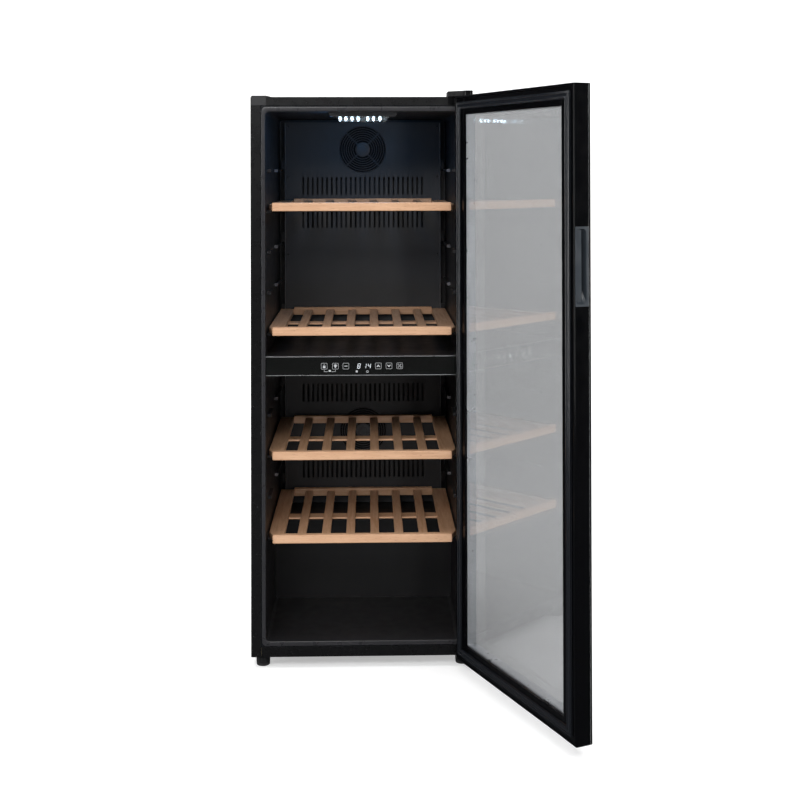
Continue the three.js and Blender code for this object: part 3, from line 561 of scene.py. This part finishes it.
# ---------------------------------------------------------------- inside: ledge tips, duct clips, fascia
# The ledges' front tips, in a pale grey that paints in the highlight on their lit ends.
ledge_tips = Shape()
for top in LEDGE_TOPS:
    for wall, inward in ((LEFT_WALL, 1), (RIGHT_WALL, -1)):
        outline = [(wall, top - 8.2), (wall + inward * 7.6, top - 8.2), (wall + inward * 9.4, top - 6),
                   (wall + inward * 9.4, top - 2.2), (wall + inward * 8.2, top), (wall, top)]
        ledge_tips.prism(outline, "y", LEDGE_FRONT - 3.4, LEDGE_FRONT - 0.2)
piece("ledge_tips", ledge_tips, "cabinet", "liner_plastic", 0.5, LEDGE_TIP_HIGHLIGHT)

duct_clips = Shape()
for z in (322, 600, 805, 1010, 1217):
    for x in (41.6, WIDTH - 51.8):
        duct_clips.block((x, 505, z - 13), (x + 10.2, 509, z + 13))
        duct_clips.block((x + 2.6, 503.6, z - 8), (x + 7.6, 505.2, z + 8))
piece("duct_clips", duct_clips, "cabinet", "black_plastic", 0.7)

# Thin aluminium strips along the fascia's top and bottom edges: a painted highlight standing for the fascia's
# edges catching the light.
low, high = local_box("control_fascia")
fascia_highlight_strips = Shape()
for z0, z1 in ((low.z + 0.1, low.z + 1.3), (high.z - 1.3, high.z - 0.1)):
    fascia_highlight_strips.block((low.x + 0.3, FASCIA_FACE - 0.5, z0), (high.x - 0.3, FASCIA_FACE + 0.6, z1))
piece("fascia_highlight_strips", fascia_highlight_strips, "cabinet", "aluminium", 0.2)

# The soft strip that closes the groove between the case's folded edge and the liner's rim.
rim_low, rim_high = local_box("liner")
rim_strip = Shape().border((FRONT_RAIL - 0.8, FRONT_RAIL - 0.8, WIDTH - FRONT_RAIL + 0.8, HEIGHT - 20.2),
                           (rim_low.x + 6, rim_low.z + 6, rim_high.x - 6, rim_high.z - 6),
                           [(0, 2.05), (1, 2.05), (1, 2.25), (0, 2.25)])
piece("rim_groove_strip", rim_strip, "cabinet", "seal")

# The satin front face of the liner's rim: nearly flat, and rolled over at both edges. Its plastic is the
# liner's made about twice as light, partly the rim's own satin finish and partly painted sheen of the lit
# front face.
sweep = [math.cos(math.pi * i / 16) for i in range(17)]
crown = [(0.5 - 0.5 * c, -0.1 - RIM_CROWN * (1 - abs(c) ** 5)) for c in sweep]
rim_face = Shape().rounded_border((rim_low.x + 0.4, rim_low.z + 0.4, rim_high.x - 0.4, rim_high.z - 0.4),
                                  (LEFT_WALL - 0.2, FLOOR - 0.2, RIGHT_WALL + 0.2, CEILING + 0.2), RIM_CORNER,
                                  [(0, -0.02)] + crown + [(1, -0.02)])
piece("rim_face", rim_face, "cabinet", "liner_plastic", 0, RIM_FACE_SHEEN)

# ---------------------------------------------------------------- inside: fan guards and duct edges
for name, height in zip(("upper", "lower"), FAN_HEIGHTS):
    centre = (WIDTH / 2, height)
    # A solid black disc just behind the guard's rings, filling the grille: painted shade of the hollow behind
    # it.
    shade_disc = Shape().turned([(GRILLE_RADIUS, DUCT_FACE - 0.05), (GRILLE_RADIUS, DUCT_FACE - 0.3)],
                           "y", centre, 96)
    piece(f"fan_shade_disc_{name}", shade_disc, "cabinet", "black_plastic", 0, FAN_SHADED_BLACK)
    hub = Shape().turned([(GRILLE_HUB, DUCT_FACE - 0.35), (GRILLE_HUB, DUCT_FACE - 1.4),
                          (GRILLE_HUB - 1, DUCT_FACE - 1.9), (14, DUCT_FACE - 2.1), (13.4, DUCT_FACE - 1.3),
                          (11.2, DUCT_FACE - 1.3), (10.6, DUCT_FACE - 2.2), (3, DUCT_FACE - 2.6)],
                         "y", centre, 48)
    piece(f"fan_hub_{name}", hub, "cabinet", "black_plastic", 0, FAN_HUB)
    guard = Shape()
    for ring in range(GRILLE_RINGS):
        radius = GRILLE_HUB + GRILLE_PITCH * (ring + 1)
        guard.hoop([(radius - 1.4, DUCT_FACE - 0.35), (radius - 1.2, DUCT_FACE - 1.5),
                    (radius - 0.5, DUCT_FACE - 1.9), (radius + 0.5, DUCT_FACE - 1.9),
                    (radius + 1.2, DUCT_FACE - 1.5), (radius + 1.4, DUCT_FACE - 0.35)], centre)
    for angle in (45, 135, 225, 315):
        across = Vector((math.cos(math.radians(angle)), math.sin(math.radians(angle))))
        side = Vector((-across.y, across.x)) * 2.2
        ends = [Vector(centre) + across * reach for reach in (GRILLE_HUB + 0.1, GRILLE_RADIUS)]
        outline = [tuple(ends[0] - side), tuple(ends[1] - side), tuple(ends[1] + side), tuple(ends[0] + side)]
        guard.prism(outline, "y", DUCT_FACE - 1.3, DUCT_FACE - 0.35)
    piece(f"fan_guard_{name}", guard, "cabinet", "black_plastic", 0, DUCT_GREY)

# Rounded edges down the duct panels' sides, in a pale grey: a painted highlight along them.
duct_edges = Shape()
for node in ("duct_panel_upper", "duct_panel_lower"):
    low, high = local_box(node)
    for x in (low.x + 1.2, high.x - 1.2):
        duct_edges.prism(arc(x, DUCT_FACE - 0.1, 1.0, 180, 360, 8), "z", low.z + 2, high.z - 2)
piece("duct_edges", duct_edges, "cabinet", "black_plastic", 0, DUCT_EDGE_HIGHLIGHT)


# ---------------------------------------------------------------- panel symbols
class Print:
    """Thin inlays on the fascia, drawn round a centre with X right and Z up."""

    def __init__(self):
        self.shape = Shape()
        self.centre = (0, 0)

    def at(self, x, z=PANEL_ROW):
        self.centre = (x, z)
        return self

    def fill(self, outline):
        x, z = self.centre
        self.shape.prism([(x + u, z + v) for u, v in outline], "y", FASCIA_FACE - 0.08, FASCIA_FACE + 0.2)
        return self

    def stroke(self, start, end, width):
        (u0, v0), (u1, v1) = start, end
        length = math.hypot(u1 - u0, v1 - v0)
        side_u, side_v = (v1 - v0) / length * width / 2, -(u1 - u0) / length * width / 2
        return self.fill([(u0 + side_u, v0 + side_v), (u1 + side_u, v1 + side_v),
                          (u1 - side_u, v1 - side_v), (u0 - side_u, v0 - side_v)])

    def loop(self, points, width):
        for start, end in zip(points, points[1:]):
            self.stroke(start, end, width)
        return self

    def key_outline(self, half=7.3):
        points = rounded_rectangle(-half, -half, half, half, 1.7, 4)
        return self.loop(points + points[:1], 0.65)


def digit(ink, x, segments, half_width=3.0, half_height=5.6, lean=0.17):
    """A seven-segment figure that leans to the right."""
    corners = {
        "a": ((-1, 1), (1, 1)), "b": ((1, 1), (1, 0)), "c": ((1, 0), (1, -1)), "d": ((1, -1), (-1, -1)),
        "e": ((-1, -1), (-1, 0)), "f": ((-1, 0), (-1, 1)), "g": ((-1, 0), (1, 0)),
    }
    ink.at(x)
    for segment in segments:
        ends = [Vector((u * half_width + v * half_height * lean, v * half_height))
                for u, v in corners[segment]]
        inset = (ends[1] - ends[0]).normalized() * 0.5
        ink.stroke(tuple(ends[0] + inset), tuple(ends[1] - inset), 1.1)


symbols = Print()
for x in KEYS.values():
    symbols.at(x).key_outline()
# Lock.
symbols.at(KEYS["lock"]).fill(rounded_rectangle(-3.2, -4.6, 3.2, 0.4, 0.8, 3))
symbols.loop([(u, v + 0.4) for u, v in arc(0, 0.6, 2.3, 0, 180, 8)], 1.0)
# Lamp.
symbols.at(KEYS["lamp"]).fill(arc(0, 0.9, 3.3, 0, 360, 20)[:-1])
symbols.fill(rectangle(-1.5, -4.6, 1.5, -2.6))
for angle in range(0, 181, 45):
    u, v = math.cos(math.radians(angle)), math.sin(math.radians(angle))
    symbols.stroke((u * 4.2, 0.9 + v * 4.2), (u * 5.4, 0.9 + v * 5.4), 0.7)
# Zone choice.
symbols.at(KEYS["zone"]).stroke((-3.8, 0), (3.8, 0), 1.8)
# Warmer, colder.
for key, side in (("warmer", 1), ("colder", -1)):
    symbols.at(KEYS[key]).fill([(-4.8, -side * 2.6), (0, side * 3.4), (4.8, -side * 2.6), (2.2, -side * 2.6),
                        (0, -side * 0.2), (-2.2, -side * 2.6)])
# Degree scale.
symbols.at(KEYS["degrees"]).stroke((-4.4, -4.4), (4.4, 4.4), 1.1)
for u, v in ((-3, 3), (3, -3)):
    symbols.loop([(u + a, v + b) for a, b in arc(0, 0, 1.5, 0, 360, 10)], 0.8)
# The marks under the keys: two keys held together, and a dot under each zone's figure.
symbols.at(194.8, 703)
symbols.loop([(-13.8, 3), (-13.8, -1.6), (-4.5, -1.6)], 0.8).loop([(4.5, -1.6), (13.8, -1.6), (13.8, 3)], 0.8)
symbols.fill(rounded_rectangle(-2.8, -1.8, 2.8, 2.6, 0.8, 3))
symbols.at(261.5, 701.6).fill(rounded_rectangle(-2.4, -2.4, 2.4, 2.4, 1, 3))
symbols.at(288, 701.2).loop(arc(0, 0, 2.3, 0, 360, 14), 1.1)
piece("panel_symbols", symbols.shape, "cabinet", "gloss_black", 0, PRINT)

figures = Print()
digit(figures, 267, "abcdefg")
digit(figures, 281.6, "bc")
digit(figures, 292.6, "bcfg")
piece("panel_figures", figures.shape, "cabinet", "gloss_black", 0, DIGITS)

# ---------------------------------------------------------------- lamp
low, high = local_box("lamp_lens")
bottom_left, bottom_right = low.x + LENS_TAPER, high.x - LENS_TAPER
cup = Shape().stack([
    (rectangle(bottom_left, low.y, bottom_right, high.y), low.z),
    (rectangle(low.x, low.y, high.x, high.y), high.z),
    (rectangle(low.x + LENS_WALL, low.y + LENS_WALL, high.x - LENS_WALL, high.y - LENS_WALL), high.z),
    (rectangle(bottom_left + LENS_WALL, low.y + LENS_WALL, bottom_right - LENS_WALL, high.y - LENS_WALL),
     low.z + LENS_WALL),
], "z")
piece("lens_cup", cup, "cabinet", "lamp_lens", 0.5, replaces=["lamp_lens"])

chips = Shape()
for x in LED_PLACES:
    chips.turned([(2.4, high.z - 1.6), (3.2, high.z - 3), (3.0, high.z - 5.6), (2.2, high.z - 8.4),
                  (1.2, high.z - 10.6)], "z", (x, (low.y + high.y) / 2), 20)
piece("led_chips", chips, "cabinet", "lamp_lens", 0, LED)

# ---------------------------------------------------------------- shelves
for place, ledge_top in SHELF_LEDGES.items():
    body = "shelf_" + place
    strip_low, strip_high = local_box("shelf_front_" + place)
    rack_left = local_box("shelf_rack_" + place)[0].x
    strip = Shape().block(strip_low, strip_high)
    piece(f"strip_{place}", strip, body, "beech", 2.2, replaces=["shelf_front_" + place])

    bottom = ledge_top + 0.3
    top = bottom + PLANK_THICKNESS
    front = strip_high.y + 0.05
    inner = rack_left + PLANK_WIDTH
    crosswise = Shape()
    crosswise.block((inner - 1, 231, bottom), (WIDTH - inner + 1, 272, bottom + 4.95))
    crosswise.block((inner + 0.05, SHELF_BACK - REAR_RAIL, bottom - 1.5),
                    (WIDTH - inner - 0.05, SHELF_BACK, bottom - 1.5 + STRIP_HEIGHT))
    piece(f"rails_{place}", crosswise, body, "beech", 1.4)

    lengthwise = Shape()
    plank = [(strip_low.x, front), (inner, front), (inner, SHELF_BACK), (rack_left, SHELF_BACK),
             (rack_left, front + 34)]
    for outline in (plank, [(WIDTH - x, y) for x, y in plank]):
        lengthwise.prism(outline, "z", bottom, top)
    for i in range(SLAT_COUNT):
        x = WIDTH / 2 + (i - (SLAT_COUNT - 1) / 2) * SLAT_PITCH
        lengthwise.block((x - SLAT_WIDTH / 2, front, top - SLAT_THICKNESS),
                         (x + SLAT_WIDTH / 2, SHELF_BACK - REAR_RAIL - 0.05, top))
    piece(f"slats_{place}", lengthwise, body, "beech", 1.8, BEECH_LENGTHWISE, ["shelf_rack_" + place])

# ---------------------------------------------------------------- door
frit = Shape().border((DOOR_LEFT + 0.8, 0.8, DOOR_RIGHT - 0.8, HEIGHT - 0.8),
                      (DOOR_LEFT + FRIT_INNER, FRIT_INNER, DOOR_RIGHT - FRIT_INNER, HEIGHT - FRIT_INNER),
                      [(0, DOOR_OUTER_FACE + GLASS + 0.02), (1, DOOR_OUTER_FACE + GLASS + 0.02),
                       (1, DOOR_OUTER_FACE + GLASS + 0.25), (0, DOOR_OUTER_FACE + GLASS + 0.25)])
piece("door_glass_border", frit, "door", "gloss_black", 0, FRIT_BLACK)

# The free stile: its section has rounded outer corners, and beside the grip it is cut back to the pocket.
frame_front, face = DOOR_OUTER_FACE + GLASS + 0.3, DOOR_INNER_FACE
rebate = [(DOOR_LEFT + PANE_MARGIN - 0.3, frame_front), (DOOR_LEFT + PANE_MARGIN - 0.3, PANE_BACK + 0.3),
          (DOOR_LEFT + STILE, PANE_BACK + 0.3), (DOOR_LEFT + STILE, face)]
lip = [(DOOR_LEFT + 1.1, face), (DOOR_LEFT + 0.3, face - 0.3), (DOOR_LEFT, face - 0.9)]
pocket = DOOR_LEFT + GRIP_DEPTH + 0.3
whole = rebate + lip + [(DOOR_LEFT, face - 1), (DOOR_LEFT, frame_front + 0.9),
                        (DOOR_LEFT + 0.3, frame_front + 0.3), (DOOR_LEFT + 1.1, frame_front)]
beside_grip = rebate + lip + [(pocket, face - 0.9), (pocket, frame_front + 0.9), (pocket, frame_front + 0.3),
                              (pocket + 1, frame_front)]
free_stile = Shape().stack([(whole, 0), (whole, GRIP_LOW - 0.3), (beside_grip, GRIP_LOW - 0.3),
                            (beside_grip, GRIP_HIGH + 0.3), (whole, GRIP_HIGH + 0.3), (whole, HEIGHT)], "z")
piece("free_stile", free_stile, "door", "gloss_black", 0.0, DOOR_BLACK, ["door_stile_free"])

# A magnetic seal: a foot, a soft neck on each side, and two glossy beads with a channel between them.
SEAL_SECTION = [(0, -6.95), (0.04, -5.8), (0.12, -5.2), (0.06, -4.2), (0, -3.4), (0.05, -2.8),
                (0.13, -2.5), (0.16, -1.9), (0.20, -1.4), (0.24, -1.2), (0.28, -1.4), (0.32, -1.9),
                (0.35, -2.7), (0.42, -2.9)]
SEAL_SECTION += [(1 - share, y) for share, y in reversed(SEAL_SECTION)]
seal = Shape().border((DOOR_LEFT + GASKET_OUTER, GASKET_OUTER,
                       DOOR_RIGHT - GASKET_OUTER, HEIGHT - GASKET_OUTER),
                      (DOOR_LEFT + GASKET_INNER, GASKET_INNER,
                       DOOR_RIGHT - GASKET_INNER, HEIGHT - GASKET_INNER), SEAL_SECTION)
piece("seal_strip", seal, "door", "seal", 0.0, replaces=["door_gasket"])

bead = Shape().border((DOOR_LEFT + 1.2, 1.2, DOOR_RIGHT - 5, HEIGHT - 1.2),
                      (DOOR_LEFT + 7.2, 7.2, DOOR_RIGHT - 11, HEIGHT - 7.2),
                      [(0, DOOR_INNER_FACE), (0.06, -6.2), (0.25, -5.7), (0.75, -5.7), (0.94, -6.2),
                       (1, DOOR_INNER_FACE)])
piece("door_edge_bead", bead, "door", "gloss_black", 0, DOOR_BLACK)


# The grip: a flat frame round a shallow rest, with a deep finger channel that ramps up at its lower end.
def grip_face(inset):
    return rounded_rectangle(GRIP_OUTER + inset, GRIP_LOW + inset,
                             GRIP_INNER - inset, GRIP_HIGH - inset, 1.4, 8)


def grip_well(side, top, ramp, radius):
    return rounded_rectangle(GRIP_OUTER + 6 + side, GRIP_LOW + 5 + ramp,
                             GRIP_INNER - 3 - side, GRIP_HIGH - 5 - top, radius, 8)


frame_levels = [(grip_face(0), GRIP_DEPTH), (grip_face(0), 0.4), (grip_face(0.5), 0)]
well_levels = [(grip_well(0, 0, 0, 8), 0), (grip_well(0.4, 0.4, 0.6, 8), 0.8), (grip_well(0.8, 1, 5, 8), 4),
               (grip_well(1.2, 2, 13, 8), 9), (grip_well(1.8, 4, 23, 8), 14), (grip_well(3.4, 7, 33, 7), 18),
               (grip_well(6, 12, 42, 5), 21.5)]
scoop = Shape().stack([(outline, DOOR_LEFT + depth) for outline, depth in frame_levels + well_levels], "x")
piece("grip_scoop", scoop, "door", "grip_plastic", 0.0, replaces=["door_grip"])
rest_outline = rounded_rectangle(GRIP_INNER - 18.5, GRIP_LOW + 5.6, GRIP_INNER - 3.5, GRIP_HIGH - 5.6, 3, 6)
rest = Shape().prism(rest_outline, "x", DOOR_LEFT + 3.5, DOOR_LEFT + 22)
piece("grip_rest", rest, "door", "grip_plastic", 1.6)

# ---------------------------------------------------------------- rear socket
low, high = local_box("mains_inlet")
pins = Shape()
for x, z in ((-7, 3), (0, -4), (7, 3)):
    middle_x, middle_z = (low.x + high.x) / 2 + x, (low.z + high.z) / 2 + z
    pins.block((middle_x - 1, high.y - 16, middle_z - 2.2), (middle_x + 1, high.y - 3, middle_z + 2.2))
piece("inlet_pins", pins, "cabinet", "zinc_steel", 0.4)

# ---------------------------------------------------------------- studio
scene = bpy.context.scene
scene.view_settings.view_transform = "Standard"
scene.view_settings.look = "None"


def studio_material():
    """Pale to the eye and through glass, but dull in reflections, so that black gloss stays black."""
    material = bpy.data.materials.new("studio_paper")
    material.use_nodes = True
    nodes, link = material.node_tree.nodes, material.node_tree.links.new
    nodes.clear()
    output = nodes.new("ShaderNodeOutputMaterial")
    paper = nodes.new("ShaderNodeBsdfDiffuse")
    paper.inputs["Color"].default_value = (0.80, 0.80, 0.80, 1)
    glow = nodes.new("ShaderNodeEmission")
    glow.inputs["Strength"].default_value = 0.42
    lit = nodes.new("ShaderNodeAddShader")
    link(paper.outputs[0], lit.inputs[0])
    link(glow.outputs[0], lit.inputs[1])
    dull = nodes.new("ShaderNodeBsdfDiffuse")
    dull.inputs["Color"].default_value = (0.10, 0.10, 0.105, 1)
    path = nodes.new("ShaderNodeLightPath")
    mirrored = nodes.new("ShaderNodeMath")
    mirrored.operation = "SUBTRACT"
    mirrored.use_clamp = True
    link(path.outputs["Is Glossy Ray"], mirrored.inputs[0])
    link(path.outputs["Is Transmission Ray"], mirrored.inputs[1])
    choice = nodes.new("ShaderNodeMixShader")
    link(mirrored.outputs[0], choice.inputs["Fac"])
    link(lit.outputs[0], choice.inputs[1])
    link(dull.outputs[0], choice.inputs[2])
    link(choice.outputs[0], output.inputs["Surface"])
    return material


def cyclorama():
    """A floor that curves up into a back wall."""
    near, far, top, bend, half = -9, 3.2, 7, 1.6, 11
    line = [(near, 0), (far - bend, 0)]
    line += [(far - bend + bend * math.sin(a), bend - bend * math.cos(a))
             for a in (math.radians(7.5 * i) for i in range(1, 13))]
    line.append((far, top))
    mesh = bpy.data.meshes.new("studio_floor")
    points = [(x, y, z) for y, z in line for x in (-half, half)]
    faces = [(2 * i, 2 * i + 1, 2 * i + 3, 2 * i + 2) for i in range(len(line) - 1)]
    mesh.from_pydata(points, [], faces)
    mesh.shade_smooth()
    mesh.materials.append(studio_material())
    obj = bpy.data.objects.new("studio_floor", mesh)
    scene.collection.objects.link(obj)


cyclorama()

world = bpy.data.worlds.new("studio")
world.use_nodes = True
world.node_tree.nodes["Background"].inputs["Color"].default_value = (0.85, 0.92, 1.0, 1)
world.node_tree.nodes["Background"].inputs["Strength"].default_value = 0.07
scene.world = world


def area_light(name, place, target, size, power, colour=(1, 1, 1)):
    data = bpy.data.lights.new(name, "AREA")
    data.shape = "RECTANGLE"
    data.size, data.size_y = size
    data.energy = power
    data.color = colour
    light = bpy.data.objects.new(name, data)
    light.location = place
    light.rotation_euler = (Vector(target) - Vector(place)).to_track_quat("-Z", "Y").to_euler()
    scene.collection.objects.link(light)


area_light("key", (-1.0, -3.6, 2.8), (0.25, 0, 0.7), (2.6, 1.2), 86)
area_light("fill", (1.9, -3.2, 3.4), (0.25, 0, 0.6), (1.6, 1.4), 36)
area_light("overhead", (0.25, 0.2, 4.6), (0.25, 0.2, 0), (4, 4), 165)
area_light("left_edge", (-2.9, -0.35, 1.1), (0.5, -0.2, 0.8), (0.5, 2.2), 40)
LAMP_BLUE = (0.12, 0.45, 1.0)
lamp_place = CABINET @ (Vector((WIDTH / 2 + 2, 57, 1316)) * MM)
area_light("lamp_glow", lamp_place, lamp_place - Vector((0, -0.25, 1)), (0.12, 0.03), 0.4, LAMP_BLUE)
lamp_side = CABINET @ (Vector((205, 57, 1322)) * MM)
area_light("lamp_side_glow", lamp_side, lamp_side - Vector((1, 0, 0.35)), (0.03, 0.02), 0.12, LAMP_BLUE)
area_light("rim_strip", (1.2, -3.2, 0.85), (0.1, 0, 0.8), (0.3, 1.2), 5)
area_light("right_edge", (3.3, -1.6, 1.1), (0.3, -0.3, 0.8), (0.5, 2.2), 25)

# The photo's viewpoint, found by fitting the corners of the case, door and shelves.
yaw, pitch, roll = (math.radians(angle) for angle in (1.387, 0.427, -0.135))
ahead = Vector((math.sin(yaw) * math.cos(pitch), math.cos(yaw) * math.cos(pitch), math.sin(pitch)))
level = Vector((math.cos(yaw), -math.sin(yaw), 0))
upright = level.cross(ahead)
right = math.cos(roll) * level + math.sin(roll) * upright
up = math.cos(roll) * upright - math.sin(roll) * level
camera_data = bpy.data.cameras.new("camera")
camera_data.sensor_width = 36
camera_data.lens = 58.33
camera_data.shift_y = -0.2986
camera = bpy.data.objects.new("camera", camera_data)
camera.matrix_world = Matrix((right, up, -ahead)).transposed().to_4x4()
camera.matrix_world.translation = (0.26458, -3.24208, 1.22660)
scene.collection.objects.link(camera)
scene.camera = camera
